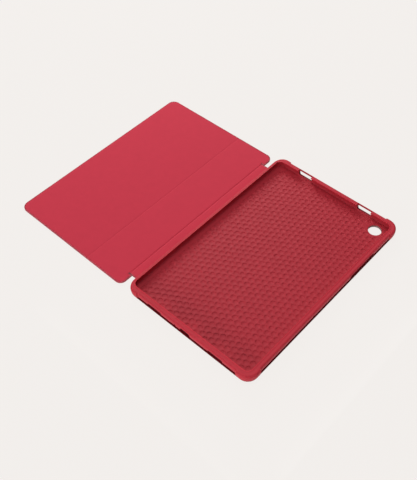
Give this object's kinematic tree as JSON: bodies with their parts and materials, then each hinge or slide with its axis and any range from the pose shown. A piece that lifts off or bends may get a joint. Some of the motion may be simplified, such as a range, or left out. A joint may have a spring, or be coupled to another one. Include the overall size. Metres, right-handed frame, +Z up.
{
  "type": "tablet case",
  "caption": "Folio case for a tablet: a moulded tray with corner bumpers and port openings, and a folding soft-lined cover on a narrow flexible spine.",
  "frame": {"origin": "centre of the rear panel's outer face, which lies on the table when the case is open and flat", "axes": "+X from the spine towards the tray's key side, +Y towards the tray's camera end, +Z up out of the tray; the cover reaches out along -X"},
  "size_m": [0.3587, 0.2652, 0.0122],
  "materials": {
    "tpu": "satin",
    "skin": "satin",
    "lining": "matte",
    "board": "matte",
    "tape": "matte",
    "magnet": "satin"
  },
  "bodies": {
    "shell": {"tray_shell": "tpu", "rear_skin": "skin", "rear_board": "board"},
    "spine": {"spine_skin": "skin", "spine_tape": "tape", "spine_lining": "lining"},
    "inner_panel": {"inner_panel_skin": "skin", "inner_panel_board": "board", "inner_panel_lining": "lining"},
    "outer_panel": {"outer_panel_skin": "skin", "outer_panel_board": "board", "outer_panel_lining": "lining", "cover_magnet_1": "magnet", "cover_magnet_2": "magnet", "cover_magnet_3": "magnet", "cover_magnet_4": "magnet", "cover_magnet_5": "magnet", "cover_magnet_6": "magnet"}
  },
  "joints": [
    {"name": "spine_hinge", "type": "hinge", "parent": "shell", "child": "spine", "pos_m": [-0.0876, 0, 0.0013], "axis": [0, 1, 0], "range_deg": [0, 90]},
    {"name": "cover_hinge", "type": "hinge", "parent": "spine", "child": "inner_panel", "pos_m": [-0.1001, 0, 0.0013], "axis": [0, 1, 0], "range_deg": [0, 90]},
    {"name": "fold_hinge", "type": "hinge", "parent": "inner_panel", "child": "outer_panel", "pos_m": [-0.1529, 0, 0.00035], "axis": [0, 1, 0], "range_deg": [-120, 0]}
  ]
}
